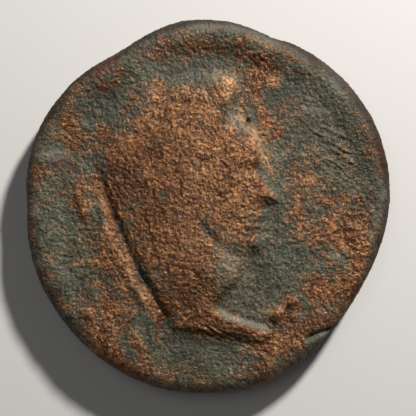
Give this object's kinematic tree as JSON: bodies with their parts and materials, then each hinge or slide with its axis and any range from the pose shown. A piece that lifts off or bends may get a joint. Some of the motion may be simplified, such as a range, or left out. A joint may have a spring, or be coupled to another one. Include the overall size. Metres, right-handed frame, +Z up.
{
  "type": "worn struck bronze coin",
  "caption": "Thick struck bronze coin with an uneven round flan, a worn draped bust on the upper face and a worn standing figure beneath.",
  "frame": {"origin": "centre of the coin's bounding box, on the plane that it lies on", "axes": "+Z up through the thickness, out of the bust's face; +Y towards the top of the bust, the flan's longest way; +X towards the side that the bust looks to"},
  "size_m": [0.0308, 0.0316, 0.0041],
  "materials": {
    "bronze": "corroded copper-brown and grey-green patina, bare copper on the worn high places"
  },
  "bodies": {
    "root": {"coin": "bronze"}
  },
  "joints": []
}
